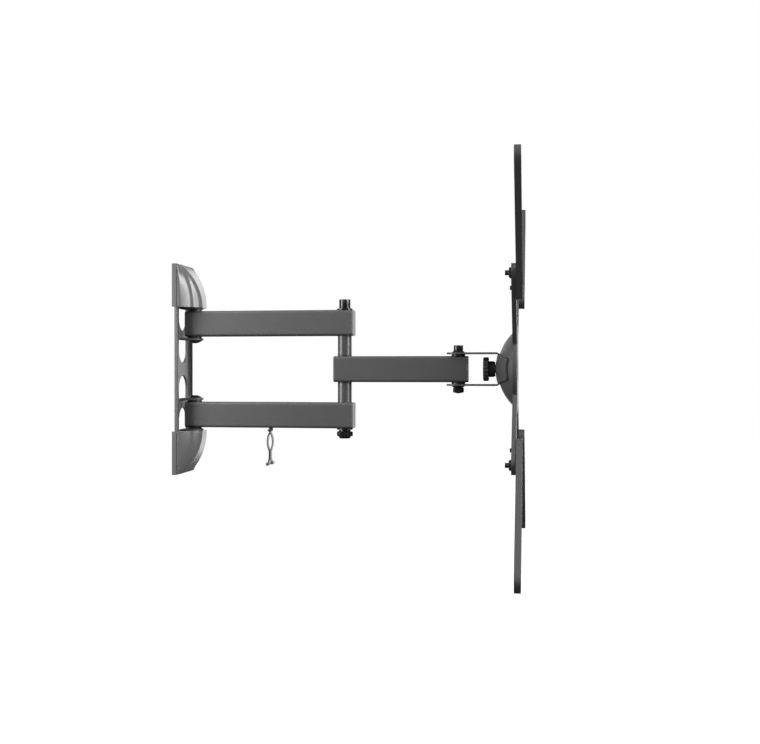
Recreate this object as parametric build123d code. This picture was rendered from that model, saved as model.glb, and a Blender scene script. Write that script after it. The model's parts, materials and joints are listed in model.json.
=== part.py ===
"""Full motion television wall mount: a wall plate with two covers, a pair of rear arms, a forearm,
a swivel bracket, a tilting dome and a centre plate that carries four adjustable extension arms.

Frame, in millimetres: the origin is the centre of the wall plate's back face, +X points out from
the wall towards the television, +Y points sideways and +Z points up.
"""
from build123d import *
from math import cos, radians, sin, sqrt
import os

os.makedirs("parts", exist_ok=True)

# --- wall plate -------------------------------------------------------------------------------
SHEET = 2.5                  # thickness of the wall plate's steel
PLATE_HALF_W = 26.0
PLATE_HALF_H = 120.0
PLATE_FLANGE = 5.4           # height of the long edges' forward flanges, from the wall
PLATE_BEND = 3.5             # outer radius of those bends
PLATE_CORNER = 6.0
TAB_LOW = (34.1, 70.6)       # lower faces of the inner and outer tab of the upper pair
TAB_ROOT_HALF_W = 12.0
TAB_END_R = 10.0
TAB_BEND = 1.5               # inner radius of the tabs' bends
BLANK_HALF_W = 14.4          # openings that the tabs are folded out of
BLANK_LOW = (7.4, 45.4)      # their rounded ends
LAG_Z = 104.0                # centre holes for two lag bolts
LAG_R = 4.5
SIDE_HOLE = (14.0, 90.0)     # four smaller holes, sideways and up from the centre
SIDE_HOLE_R = 3.5
TAB_TAPER_X = 4.0            # where the tabs start to narrow towards their ends

# --- covers -----------------------------------------------------------------------------------
COVER_Z = (72.5, 123.0)
COVER_HALF_W = 32.0
COVER_RIM = 5.0              # depth of the straight side walls
COVER_WALL = 2.0
COVER_ARC = (-36.9, 72.5, 66.0)      # centre and radius of the front's curve, in X and Z
COVER_STRIP = (8.0, 10.0, 1.8)       # front strip: half width of its low end, widening, its power
COVER_STEPS = 10             # loft sections between the cover's ends
RIB_Z = (86.0, 110.0)        # snap ribs inside the covers' side walls
RIB_X = (0.6, 4.4)
RIB_HALF_H = 2.0

# --- pivots, rear arms and forearm ------------------------------------------------------------
WALL_PIVOT_X = 17.1
ELBOW_X = WALL_PIVOT_X + 181.2
HEAD_PIVOT_X = ELBOW_X + 132.0
TUBE_H = 30.0
TUBE_W = 20.0
TUBE_WALL = 1.5
TUBE_CORNER = 3.0
ARM_Z = 53.6                 # height of the rear arms' centre lines
ARM_X = (7.5, 209.3)         # ends of the rear arms, with their plugs
FOREARM_X = (186.3, 341.7)
PLUG_CAP = 1.5
PLUG_DEPTH = 16.0
WALL_SHANK_R = 4.0
ELBOW_SHANK_R = 5.0
HEAD_SHANK_R = 3.0
RUNNING = 0.05               # radial clearance of every running fit
WALL_BUSH = (6.0, 8.3, 2.0, 9.0)     # sleeve radius, flange radius, flange thickness, sleeve depth
ELBOW_BUSH = (7.0, 8.25, 1.5, 9.0)
HEAD_BUSH = (5.0, 7.9, 2.0, 9.0)
SPACER_R = 8.25
LOOSE = 0.1                  # radial clearance of plain bolt holes
WASHER_PLAY = 0.2            # radial clearance inside washers
PLUG_PLAY = 0.3              # radial clearance between end plugs and what passes through them
PLUG_CHAMFER = 0.7
WALL_NUT = (13.0, 6.8)       # width across flats, height
WALL_BOLT_END = 82.0
DOME_HEAD = (8.6, 3.5)       # radius, height
HEAD_CHAMFER = 0.6           # on the rims of all bolt heads
ELBOW_HEAD = (6.7, 8.8, 7.0)         # radius, height, socket's width across flats
ELBOW_WASHER = (9.35, 1.6)
ELBOW_LOCK = (6.9, 1.8)              # spring washer
LOCK_GAP = 1.4                       # width of the spring washer's slit
ELBOW_NUT = (16.3, 6.2)              # width across flats, height
ELBOW_COLLAR = (7.2, 6.4, 2.2)       # lock nut's collar: radius at the nut, at its end, height
NUT_CORNER = 0.56            # a nut's corners are turned off at this share of its width
HEAD_WASHER = (8.2, 5.9, 2.0)        # lower radius, upper radius, height
HEAD_BOLT = (5.5, 6.3, 5.0)          # head's radius, height, socket's width across flats
HEAD_NUT = (10.8, 6.0)
HEAD_BOLT_PROUD = 0.6        # how far its thread stands out of its nut

# --- swivel bracket, tilt joint and centre plate ----------------------------------------------
TILT_X = 432.4               # centre of the spherical surfaces and the tilt axis
CUP_R = (58.0, 60.0)
DOME_R = (55.7, 57.7)
WASHER_R = 55.4
BRACKET_T = 2.0
LEG_Z = 18.0                 # middle of each leg's thickness
LEG_END_R = 13.5
LEG_HALF_W = 15.5
BRACKET_BEND = 4.0
EAR_Y = 36.0
EAR_HALF_H = (15.6, 12.2)    # cup's half height beside the legs, and at its outer ends
EAR_CORNER = 3.0
EAR_STOCK = (10.0, 20.0)     # how far the ears reach behind and past the legs' bends, in X
LEG_FLARE = 15.0             # length over which each leg widens to the cup
TILT_SHANK_R = 4.0
NECK = 8.0                   # width of the tilt bolt's square neck
SLOT_HALF_W = 4.2
SLOT_HALF_H = 24.3
KNOB_X = (358.7, 365.0, 371.0)
KNOB_R = 13.6
KNOB_HUB_R = 9.05
KNOB_FLUTES = 18
HEAD_BACK = 392.5            # wall side of the centre plate's edge flanges
HEAD_WEB = 395.5             # wall side of its web
HEAD_FRONT = 397.5           # television side of its web
DISC_R = 50.0
SPOKE_HALF_W = 10.0
HEAD_SHEET = 2.0
WASHER_HALF_W = 11.0         # radius of the round-faced washer in the dome
BOLT_HEAD = (381.0, 385.0, 9.0)      # seat, back and radius of the tilt bolt's head
BOLT_TIP_X = 362.0
NECK_GAP = 0.6               # between the cup's inner face and the square neck
INSERT = (361.4, 5.5)                # brass insert's blind end and radius
KNOB_WASHER = (8.5, 1.4)
KNOB_EDGE_R = 0.9
FLUTE = (1.2, 0.5)           # radius of the knob's flutes, and how far out their centres lie
CLAMP_YZ = 100.0             # clamp bolts, sideways and up from the centre
VESA_SMALL = (37.5, 50.0)
VESA_SMALL_R = 2.6
ACCESS_R = 14.0

# --- extension arms ---------------------------------------------------------------------------
ARM_FRONT = 404.1
ARM_SHEET = 1.8
ARM_HALF_W = 11.0
ARM_INNER = 84.0             # inner end's centre, sideways and up from the middle
VESA_LARGE = 200.0
VESA_LARGE_R = 4.25
CLAMP_SHANK_R = 3.0
CLAMP_SLOT = (137.0, 247.0)  # along the arm, from the middle of the centre plate
CLAMP_SLOT_HALF_W = 3.1
CLAMP_HEAD = (7.0, 3.0)
CLAMP_TIP_X = 386.0
CLAMP_NUT = (10.0, 6.5, 1.5, 5.5)    # hexagon, flange radius, flange thickness, whole height
QUARTERS = ("top_right", "bottom_right", "bottom_left", "top_left")

# --- cable clip -------------------------------------------------------------------------------
CLIP_X = 109.2
CLIP_T = 1.4
CLIP_HALF_W = 4.0
CLIP_TOP = 75.0              # depths below the centre line
CLIP_PINCH = (96.5, 105.5)
CLIP_BULGE = 3.1
CLIP_PIN_X = 110.0
CLIP_PIN_R = 2.0
CLIP_BARB = (2.7, 2.0)       # radius, height
CLIP_PLUG = (2.4, 4.0)
CLIP_BEAD_R = 2.0
CLIP_PINCH_T = 1.2           # thickness of each half where they lie together
CLIP_TAILS = (6.2, 4.6)      # lengths of the tails towards the wall and away from it
CLIP_TAIL_LEAN = 22.0        # degrees
CLIP_CROSS_LEANS = (-38.0, 30.0)     # the strips that cross under the plug, in degrees
CLIP_CROSS_L = 7.4
CLIP_CROSS_AT = (0.2, 0.0)   # their centre: past the loop's middle, and above the loop's top

ARM_LOW = ARM_Z - TUBE_H / 2
ARM_HIGH = ARM_Z + TUBE_H / 2
ELBOW_SEAT = ARM_HIGH + ELBOW_WASHER[1] + ELBOW_LOCK[1]
LEG_OUT = LEG_Z + BRACKET_T / 2
CLAMP_S = CLAMP_YZ * sqrt(2)
OVER = 1.0                   # how far a cutting shape passes the surface that it cuts
LOW = (Align.CENTER, Align.CENTER, Align.MIN)


def block(x, y, z):
    """A box given by its low and high X, Y and Z."""
    size = [high - low for low, high in (x, y, z)]
    middle = [(low + high) / 2 for low, high in (x, y, z)]
    return Pos(*middle) * Box(*size)


def post(radius, low, high, x=0.0, y=0.0):
    """An upright cylinder."""
    return Pos(x, y, low) * Cylinder(radius, high - low, align=LOW)


def pin(radius, low, high, y=0.0, z=0.0):
    """A cylinder along X."""
    return Pos(low, y, z) * Rot(0, 90, 0) * Cylinder(radius, high - low, align=LOW)


def cone_post(low_r, high_r, low, high, x):
    return Pos(x, 0, low) * Cone(low_r, high_r, high - low, align=LOW)


def hexagon(width, low, high, x):
    """An upright hexagonal prism, width across its flats."""
    outline = RegularPolygon(width / sqrt(3), 6, rotation=30)
    return Pos(x, 0, low) * extrude(outline, high - low)


def hexagon_x(width, low, high, y, z):
    outline = RegularPolygon(width / sqrt(3), 6)
    return Pos(low, y, z) * Rot(0, 90, 0) * extrude(outline, high - low)


def below(shape):
    """The same shape mirrored to the other side of the centre line."""
    return mirror(shape, about=Plane.XY)


def both(shape):
    return [shape, below(shape)]


def group(solids):
    return Compound(children=list(solids))


def on_diagonal(shape, quarter):
    """Turns a shape that lies along +Z onto one of the four diagonals."""
    return Rot(-45 - 90 * quarter, 0, 0) * shape


def write(name, shape):
    export_step(shape, f"parts/{name}.step")


# --- wall plate and covers --------------------------------------------------------------------
def tab(low):
    """One pivot tab with its bend, folded forward from the web above it."""
    high = low + SHEET
    tip = WALL_PIVOT_X + TAB_END_R
    arm = block((0, tip), (-TAB_ROOT_HALF_W, TAB_ROOT_HALF_W), (low, high))
    root = block((0, SHEET), (-TAB_ROOT_HALF_W, TAB_ROOT_HALF_W), (low, high + 2 * SHEET))
    folded = arm + root
    across = folded.edges().filter_by(Axis.Y)
    outer = across.sort_by(Axis.X)[:2].sort_by(Axis.Z)[0]
    folded = fillet(outer, TAB_BEND + SHEET)
    across = folded.edges().filter_by(Axis.Y)
    inner = [e for e in across if abs(e.center().X - SHEET) < 0.01 and abs(e.center().Z - high) < 0.01]
    folded = fillet(inner, TAB_BEND)
    plan = Polygon(
        (-OVER, -TAB_ROOT_HALF_W), (TAB_TAPER_X, -TAB_ROOT_HALF_W), (WALL_PIVOT_X, -TAB_END_R),
        (WALL_PIVOT_X, TAB_END_R), (TAB_TAPER_X, TAB_ROOT_HALF_W), (-OVER, TAB_ROOT_HALF_W), align=None)
    plan += Pos(WALL_PIVOT_X, 0) * Circle(TAB_END_R)
    outline = Pos(0, 0, low - OVER) * extrude(plan, 4 * SHEET)
    hole = post(WALL_SHANK_R, low - OVER, high + OVER, WALL_PIVOT_X)
    return (folded & outline) - hole


def blank_opening(bottom, tab_low):
    """The opening that a tab was cut from, round at its far end."""
    top = tab_low + SHEET
    centre = bottom + BLANK_HALF_W
    straight = block((-OVER, SHEET + OVER), (-BLANK_HALF_W, BLANK_HALF_W), (centre, top))
    return straight + pin(BLANK_HALF_W, -OVER, SHEET + OVER, z=centre)


def wall_plate():
    plate = block((0, PLATE_FLANGE), (-PLATE_HALF_W, PLATE_HALF_W), (-PLATE_HALF_H, PLATE_HALF_H))
    back_edges = plate.edges().filter_by(Axis.Z).group_by(Axis.X)[0]
    plate = fillet(back_edges, PLATE_BEND)
    inside = PLATE_HALF_W - SHEET
    end = PLATE_HALF_H + OVER
    tray = block((SHEET, PLATE_FLANGE + OVER), (-inside, inside), (-end, end))
    tray = fillet(tray.edges().filter_by(Axis.Z).group_by(Axis.X)[0], PLATE_BEND - SHEET)
    plate -= tray
    rounded = Plane.YZ * RectangleRounded(2 * PLATE_HALF_W, 2 * PLATE_HALF_H, PLATE_CORNER)
    plate &= extrude(rounded, PLATE_FLANGE)
    for bottom, tab_low in zip(BLANK_LOW, TAB_LOW):
        for opening in both(blank_opening(bottom, tab_low)):
            plate -= opening
    for tab_low in TAB_LOW:
        for part in both(tab(tab_low)):
            plate += part
    side, up = SIDE_HOLE
    for z in (-LAG_Z, LAG_Z):
        plate -= pin(LAG_R, -OVER, SHEET + OVER, z=z)
    for y in (-side, side):
        for z in (-up, up):
            plate -= pin(SIDE_HOLE_R, -OVER, SHEET + OVER, y, z)
    return plate


def cover_section(z, inset):
    """The cover's outline at one height: straight rims, leaning sides and a flat front strip."""
    arc_x, arc_z, arc_r = COVER_ARC
    narrow, widening, power = COVER_STRIP
    low, high = COVER_Z
    along = max(0.0, (z - low) / (high - low))
    front = arc_x + sqrt(arc_r ** 2 - (z - arc_z) ** 2) - inset
    strip = narrow + widening * along ** power - inset / 2
    rim = COVER_HALF_W - inset
    half = [(0, rim), (COVER_RIM, rim), (front, strip)]
    mirrored = [(x, -y) for x, y in reversed(half)]
    return Pos(0, 0, z) * Polygon(*half, *mirrored, align=None)


def cover_body(low, high, inset):
    heights = [low + (high - low) * step / COVER_STEPS for step in range(COVER_STEPS + 1)]
    return loft([cover_section(z, inset) for z in heights])


def top_cover():
    low, high = COVER_Z
    cover = cover_body(low, high, 0) - cover_body(low, high - COVER_WALL, COVER_WALL)
    for z in RIB_Z:
        outer = COVER_HALF_W - COVER_WALL / 2
        rib = block(RIB_X, (PLATE_HALF_W, outer), (z - RIB_HALF_H, z + RIB_HALF_H))
        cover += rib
        cover += mirror(rib, about=Plane.XZ)
    return cover


# --- bolts, nuts and bushes -------------------------------------------------------------------
def wall_pivot_bolt():
    """Carriage bolt: its domed head is under the inner tab and its thread ends in the cover."""
    radius, height = DOME_HEAD
    seat = TAB_LOW[0]
    ball_r = (radius ** 2 + height ** 2) / (2 * height)
    ball = Pos(WALL_PIVOT_X, 0, seat - height + ball_r) * Sphere(ball_r)
    head = ball & post(radius, seat - height, seat, WALL_PIVOT_X)
    return head + post(WALL_SHANK_R, seat, WALL_BOLT_END, WALL_PIVOT_X)


def wall_pivot_nut():
    width, height = WALL_NUT
    seat = TAB_LOW[1] + SHEET
    nut = hexagon(width, seat, seat + height, WALL_PIVOT_X)
    return nut - post(WALL_SHANK_R, seat - OVER, seat + height + OVER, WALL_PIVOT_X)


def bush(sizes, shank_r, face, x):
    """A flanged bush: its sleeve goes down from face into the tube and its flange stands on it."""
    sleeve_r, flange_r, thick, depth = sizes
    body = post(sleeve_r, face - depth, face, x) + post(flange_r, face, face + thick, x)
    return body - post(shank_r + RUNNING, face - depth - OVER, face + thick + OVER, x)


def bush_pair(sizes, shank_r, low, high, x):
    """Two bushes, one in each end of a hole through a tube."""
    upper = bush(sizes, shank_r, high, x)
    middle = (low + high) / 2
    lower = Pos(0, 0, 2 * middle) * below(upper)
    return [upper, lower]


def ring(outer, inner, low, high, x):
    return post(outer, low, high, x) - post(inner, low - OVER, high + OVER, x)


def socket_head(sizes, seat, x):
    """A cap screw's head: a cylinder with a chamfered rim and a hexagonal socket half as deep."""
    radius, height, socket = sizes
    head = post(radius, seat, seat + height, x)
    head = chamfer(head.edges().group_by(Axis.Z)[-1], HEAD_CHAMFER)
    return head - hexagon(socket, seat + height / 2, seat + height + OVER, x)


def elbow_bolt():
    end = ELBOW_SEAT + ELBOW_NUT[1] + ELBOW_COLLAR[2]
    head = socket_head(ELBOW_HEAD, ELBOW_SEAT, ELBOW_X)
    return head + post(ELBOW_SHANK_R, -end, ELBOW_SEAT, ELBOW_X)


def elbow_nut():
    """Lock nut under the lower arm: a hexagon with a round collar below it."""
    width, height = ELBOW_NUT
    collar_r, end_r, collar_h = ELBOW_COLLAR
    top = -ELBOW_SEAT
    base = top - height
    end = base - collar_h
    nut = hexagon(width, base, top, ELBOW_X)
    nut &= post(width * NUT_CORNER, base, top, ELBOW_X)
    collar = cone_post(end_r, collar_r, end, base, ELBOW_X)
    return nut + collar - post(ELBOW_SHANK_R, end - OVER, top + OVER, ELBOW_X)


def elbow_washers():
    outer, thick = ELBOW_WASHER
    lock_r, lock_t = ELBOW_LOCK
    bore = ELBOW_SHANK_R + WASHER_PLAY
    top = ARM_HIGH + thick
    flat = ring(outer, bore, ARM_HIGH, top, ELBOW_X)
    lock = ring(lock_r, bore, top, top + lock_t, ELBOW_X)
    gap = (ELBOW_X - LOCK_GAP / 2, ELBOW_X + LOCK_GAP / 2)
    lock -= block(gap, (0, lock_r + OVER), (top - OVER, ELBOW_SEAT + OVER))
    return [*both(flat), *both(lock)]


def elbow_spacer():
    low = TUBE_H / 2 + ELBOW_BUSH[2]
    return ring(SPACER_R, ELBOW_SHANK_R + LOOSE, low, ARM_LOW, ELBOW_X)


# --- tubes and their plugs --------------------------------------------------------------------
def tube_outline():
    return RectangleRounded(TUBE_H, TUBE_W, TUBE_CORNER)


def tube_hollow():
    inside = TUBE_CORNER - TUBE_WALL
    return RectangleRounded(TUBE_H - 2 * TUBE_WALL, TUBE_W - 2 * TUBE_WALL, inside)


def along_tube(section, low, high, z):
    """A tube's section, or a part of it, extruded along X."""
    return Pos(low, 0, z) * Rot(0, 90, 0) * extrude(section, high - low)


def tube_body(ends, z, holes):
    """A rectangular tube along X with holes through its top and bottom walls."""
    tube = along_tube(tube_outline() - tube_hollow(), *ends, z)
    for x, radius in holes:
        tube -= post(radius, z - TUBE_H, z + TUBE_H, x)
    return tube


def end_plug(cap_x, into, z, pivot_x, clear_r):
    """A moulded plug: its cap closes the tube's end and its cheeks grip inside the walls."""
    side = 1 if into > 0 else -1
    cap_in = cap_x + side * PLUG_CAP
    cap = along_tube(tube_outline(), *sorted((cap_x, cap_in)), z)
    outer_face = cap.faces().sort_by(Axis.X)[0 if side > 0 else -1]
    cap = chamfer(outer_face.edges(), PLUG_CHAMFER)
    cheeks = along_tube(tube_hollow(), *sorted((cap_in, cap_in + side * PLUG_DEPTH)), z)
    cheeks -= post(clear_r, z - TUBE_H, z + TUBE_H, pivot_x)
    pieces = (cap + cheeks).solids().sort_by(SortBy.VOLUME)
    return pieces[-1]


def rear_arm_tube():
    ends = (ARM_X[0] + PLUG_CAP, ARM_X[1] - PLUG_CAP)
    return tube_body(ends, ARM_Z, [(WALL_PIVOT_X, WALL_BUSH[0]), (ELBOW_X, ELBOW_SHANK_R + LOOSE)])


def rear_arm_plugs():
    wall_end = end_plug(ARM_X[0], 1, ARM_Z, WALL_PIVOT_X, WALL_BUSH[0] + PLUG_PLAY)
    elbow_end = end_plug(ARM_X[1], -1, ARM_Z, ELBOW_X, ELBOW_SHANK_R + PLUG_PLAY)
    return [wall_end, elbow_end]


def forearm_tube():
    ends = (FOREARM_X[0] + PLUG_CAP, FOREARM_X[1] - PLUG_CAP)
    return tube_body(ends, 0, [(ELBOW_X, ELBOW_BUSH[0]), (HEAD_PIVOT_X, HEAD_BUSH[0])])


def forearm_plugs():
    elbow_end = end_plug(FOREARM_X[0], 1, 0, ELBOW_X, ELBOW_BUSH[0] + PLUG_PLAY)
    head_end = end_plug(FOREARM_X[1], -1, 0, HEAD_PIVOT_X, HEAD_BUSH[0] + PLUG_PLAY)
    return [elbow_end, head_end]


# --- swivel bracket and its pivot -------------------------------------------------------------
def swivel_bracket():
    """A folded strip: two legs over the forearm's end and a spherical cup with two ears."""
    ball = Pos(TILT_X, 0, 0)
    corner_x = TILT_X - sqrt(CUP_R[0] ** 2 - LEG_OUT ** 2)
    reach = block((HEAD_PIVOT_X, corner_x), (-LEG_HALF_W, LEG_HALF_W), (-LEG_OUT, LEG_OUT))
    reach = fillet(reach.edges().filter_by(Axis.Y).group_by(Axis.X)[-1], BRACKET_BEND)
    tall, short = EAR_HALF_H
    ear = [(LEG_HALF_W, tall), (EAR_Y, short)]
    right_half = ear + [(y, -z) for y, z in reversed(ear)]
    outline = right_half + [(-y, -z) for y, z in right_half]
    face = Plane.YZ * Polygon(*outline, align=None)
    behind, past = EAR_STOCK
    ears = Pos(corner_x - behind, 0, 0) * extrude(face, behind + past, dir=(1, 0, 0))
    along = ears.edges().filter_by(Axis.X)
    ears = fillet([e for e in along if abs(abs(e.center().Y) - EAR_Y) < 0.01], EAR_CORNER)
    cup = (ball * Sphere(CUP_R[1])) & (reach + ears)
    plan = Pos(HEAD_PIVOT_X, 0) * Circle(LEG_END_R)
    wide_x = corner_x - LEG_FLARE
    plan += Polygon(
        (HEAD_PIVOT_X, -LEG_END_R), (wide_x, -LEG_HALF_W), (corner_x, -LEG_HALF_W),
        (corner_x, LEG_HALF_W), (wide_x, LEG_HALF_W), (HEAD_PIVOT_X, LEG_END_R), align=None)
    leg = Pos(0, 0, LEG_Z - BRACKET_T / 2) * extrude(plan, BRACKET_T)
    front = reach + block((0, HEAD_PIVOT_X), (-EAR_Y, EAR_Y), (-LEG_OUT, LEG_OUT))
    for part in both(leg & front):
        cup += part
    cup -= ball * Sphere(CUP_R[0])
    cup -= pin(TILT_SHANK_R + RUNNING, KNOB_X[0], TILT_X)
    return cup - post(HEAD_SHANK_R + LOOSE, -2 * LEG_OUT, 2 * LEG_OUT, HEAD_PIVOT_X)


def head_pivot_bolt():
    seat = LEG_OUT + HEAD_WASHER[2]
    end = seat + HEAD_NUT[1] + HEAD_BOLT_PROUD
    head = socket_head(HEAD_BOLT, seat, HEAD_PIVOT_X)
    return head + post(HEAD_SHANK_R, -end, seat, HEAD_PIVOT_X)


def head_pivot_nut():
    width, height = HEAD_NUT
    top = -LEG_OUT - HEAD_WASHER[2]
    nut = hexagon(width, top - height, top, HEAD_PIVOT_X)
    nut &= post(width * NUT_CORNER, top - height, top, HEAD_PIVOT_X)
    return nut - post(HEAD_SHANK_R, top - height - OVER, top + OVER, HEAD_PIVOT_X)


def head_pivot_washer():
    low_r, high_r, height = HEAD_WASHER
    top = LEG_OUT + height
    washer = cone_post(low_r, high_r, LEG_OUT, top, HEAD_PIVOT_X)
    return washer - post(HEAD_SHANK_R + WASHER_PLAY, LEG_OUT - OVER, top + OVER, HEAD_PIVOT_X)


# --- tilt joint -------------------------------------------------------------------------------
def tilt_knob():
    disc_x, hub_x, end_x = KNOB_X
    disc = pin(KNOB_R, disc_x, hub_x)
    disc = fillet(disc.edges().filter_by(GeomType.CIRCLE), KNOB_EDGE_R)
    flute_r, further = FLUTE
    reach = KNOB_R + further
    for flute in range(KNOB_FLUTES):
        angle = radians(360 * flute / KNOB_FLUTES)
        disc -= pin(flute_r, disc_x - OVER, hub_x + OVER, reach * cos(angle), reach * sin(angle))
    knob = disc + pin(KNOB_HUB_R, hub_x, end_x)
    return knob - pin(INSERT[1], INSERT[0], end_x + OVER)


def knob_insert():
    low, radius = INSERT
    end = KNOB_X[2]
    return pin(radius, low, end) - pin(TILT_SHANK_R + RUNNING, low - OVER, end + OVER)


def knob_washer():
    radius, thick = KNOB_WASHER
    low = KNOB_X[2]
    high = low + thick
    return pin(radius, low, high) - pin(TILT_SHANK_R + WASHER_PLAY, low - OVER, high + OVER)


def tilt_bolt():
    """Carriage bolt: its head is inside the dome and its square neck runs in the dome's slot."""
    seat, back, radius = BOLT_HEAD
    neck_x = TILT_X - CUP_R[0] + NECK_GAP
    half = NECK / 2
    neck = block((neck_x, seat), (-half, half), (-half, half))
    return pin(TILT_SHANK_R, BOLT_TIP_X, neck_x) + neck + pin(radius, seat, back)


def clamp_washer():
    """Washer between the bolt's head and the dome's inside, round on one side and flat on one."""
    seat = BOLT_HEAD[0]
    half = NECK / 2 + RUNNING
    round_x = TILT_X - WASHER_R
    washer = pin(WASHER_HALF_W, round_x, seat) & (Pos(TILT_X, 0, 0) * Sphere(WASHER_R))
    return washer - block((round_x - OVER, seat + OVER), (-half, half), (-half, half))


def tilt_dome():
    ball = Pos(TILT_X, 0, 0)
    shell = ball * Sphere(DOME_R[1]) - ball * Sphere(DOME_R[0])
    side = 2 * DOME_R[1]
    shell &= block((TILT_X - side, HEAD_WEB), (-side, side), (-side, side))
    slot = block((KNOB_X[0], HEAD_BACK), (-SLOT_HALF_W, SLOT_HALF_W), (-SLOT_HALF_H, SLOT_HALF_H))
    return shell - slot


# --- centre plate and extension arms ----------------------------------------------------------
def stadium(low, high, half_w, x0, x1):
    """A bar along +Z with round ends centred at low and high, from x0 to x1."""
    bar = block((x0, x1), (-half_w, half_w), (low, high))
    return bar + pin(half_w, x0, x1, z=low) + pin(half_w, x0, x1, z=high)


def star(x0, x1, inset):
    """The centre plate's outline: a disc with four diagonal spokes."""
    shape = pin(DISC_R - inset, x0, x1)
    for quarter in range(len(QUARTERS)):
        shape += on_diagonal(stadium(0, CLAMP_S, SPOKE_HALF_W - inset, x0, x1), quarter)
    return shape


def centre_plate():
    plate = star(HEAD_BACK, HEAD_FRONT, 0) - star(HEAD_BACK - OVER, HEAD_WEB, HEAD_SHEET)
    through = (HEAD_WEB - OVER, HEAD_FRONT + OVER)
    plate -= pin(ACCESS_R, *through)
    for quarter in range(len(QUARTERS)):
        holes = pin(CLAMP_SHANK_R + RUNNING, *through, z=CLAMP_S)
        for distance in VESA_SMALL:
            holes += pin(VESA_SMALL_R, *through, z=distance * sqrt(2))
        plate -= on_diagonal(holes, quarter)
    return plate


def extension_arm():
    """A pressed tray with its rim towards the television, a clamp slot and an end hole."""
    low, high = ARM_INNER * sqrt(2), VESA_LARGE * sqrt(2)
    web = HEAD_FRONT + ARM_SHEET
    through = (HEAD_FRONT - OVER, web + OVER)
    arm = stadium(low, high, ARM_HALF_W, HEAD_FRONT, ARM_FRONT)
    arm -= stadium(low, high, ARM_HALF_W - ARM_SHEET, web, ARM_FRONT + OVER)
    arm -= stadium(*CLAMP_SLOT, CLAMP_SLOT_HALF_W, *through)
    return arm - pin(VESA_LARGE_R, *through, z=high)


def arm_clamp_bolt():
    """Carriage bolt: its head lies in the arm's tray and its neck is keyed in the arm's slot."""
    radius, height = CLAMP_HEAD
    web = HEAD_FRONT + ARM_SHEET
    half = CLAMP_SHANK_R
    neck = block((HEAD_FRONT, web), (-half, half), (CLAMP_S - half, CLAMP_S + half))
    head = pin(radius, web, web + height, z=CLAMP_S)
    head = chamfer(head.faces().sort_by(Axis.X)[-1].edges(), HEAD_CHAMFER)
    return pin(CLAMP_SHANK_R, CLAMP_TIP_X, HEAD_FRONT, z=CLAMP_S) + neck + head


def arm_clamp_nut():
    width, flange_r, flange_t, height = CLAMP_NUT
    seat = HEAD_WEB
    back = seat - height
    flange = pin(flange_r, seat - flange_t, seat, z=CLAMP_S)
    body = hexagon_x(width, back, seat - flange_t, 0, CLAMP_S)
    return flange + body - pin(CLAMP_SHANK_R, back - OVER, seat + OVER, z=CLAMP_S)


# --- cable clip -------------------------------------------------------------------------------
def clip_leg(side):
    """One half of the loop, a strip bent outwards, its pinched stretch and its flared tail."""
    pinch_top, pinch_low = CLIP_PINCH
    half_chord = (pinch_top - CLIP_TOP) / 2
    radius = (half_chord ** 2 + CLIP_BULGE ** 2) / (2 * CLIP_BULGE)
    middle_z = -(CLIP_TOP + pinch_top) / 2
    centre = Pos(CLIP_X + side * (CLIP_BULGE - radius), 0, middle_z) * Rot(90, 0, 0)
    half_t = CLIP_T / 2
    bow = centre * Cylinder(radius + half_t, 2 * CLIP_HALF_W)
    bow -= centre * Cylinder(radius - half_t, 2 * (CLIP_HALF_W + OVER))
    across = (-CLIP_HALF_W, CLIP_HALF_W)
    near, far = sorted((CLIP_X - side * half_t, CLIP_X + side * (CLIP_BULGE + CLIP_T)))
    bow &= block((near, far), across, (-pinch_top - OVER, -CLIP_TOP + OVER))
    near, far = sorted((CLIP_X, CLIP_X + side * CLIP_PINCH_T))
    pinch = block((near, far), across, (-pinch_low, -pinch_top + OVER))
    drop = CLIP_TAILS[0 if side < 0 else 1]
    tail = block((-half_t, half_t), across, (-drop, OVER))
    bead = Pos(0, 0, -drop) * Rot(90, 0, 0) * Cylinder(CLIP_BEAD_R, 2 * CLIP_HALF_W)
    foot = Pos(CLIP_X + side * half_t, 0, -pinch_low) * Rot(0, -side * CLIP_TAIL_LEAN, 0) * (tail + bead)
    return bow + pinch + foot


def cable_clip():
    """Push-in clip: a barbed pin in the lower arm, a plug head and a hanging loop of strip."""
    bottom = -ARM_HIGH
    plug_r, plug_h = CLIP_PLUG
    barb_r, barb_h = CLIP_BARB
    barb_low = bottom + TUBE_WALL + LOOSE
    clip = post(plug_r, bottom - plug_h, bottom, CLIP_PIN_X)
    clip += post(CLIP_PIN_R, bottom, barb_low + barb_h, CLIP_PIN_X)
    clip += cone_post(barb_r, CLIP_PIN_R, barb_low, barb_low + barb_h, CLIP_PIN_X)
    beside, above = CLIP_CROSS_AT
    for lean in CLIP_CROSS_LEANS:
        strip = Box(CLIP_T, 2 * CLIP_HALF_W, CLIP_CROSS_L)
        clip += Pos(CLIP_X + beside, 0, above - CLIP_TOP) * Rot(0, lean, 0) * strip
    for side in (-1, 1):
        clip += clip_leg(side)
    return clip


def lower_arm_tube():
    """The lower arm also has the cable clip's hole in its bottom wall."""
    hole = post(CLIP_PIN_R + RUNNING, -ARM_HIGH - OVER, -ARM_HIGH + 2 * TUBE_WALL, CLIP_PIN_X)
    return below(rear_arm_tube()) - hole


# --- files ------------------------------------------------------------------------------------
upper_plugs = rear_arm_plugs()
upper_bushes = bush_pair(WALL_BUSH, WALL_SHANK_R, ARM_LOW, ARM_HIGH, WALL_PIVOT_X)

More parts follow.
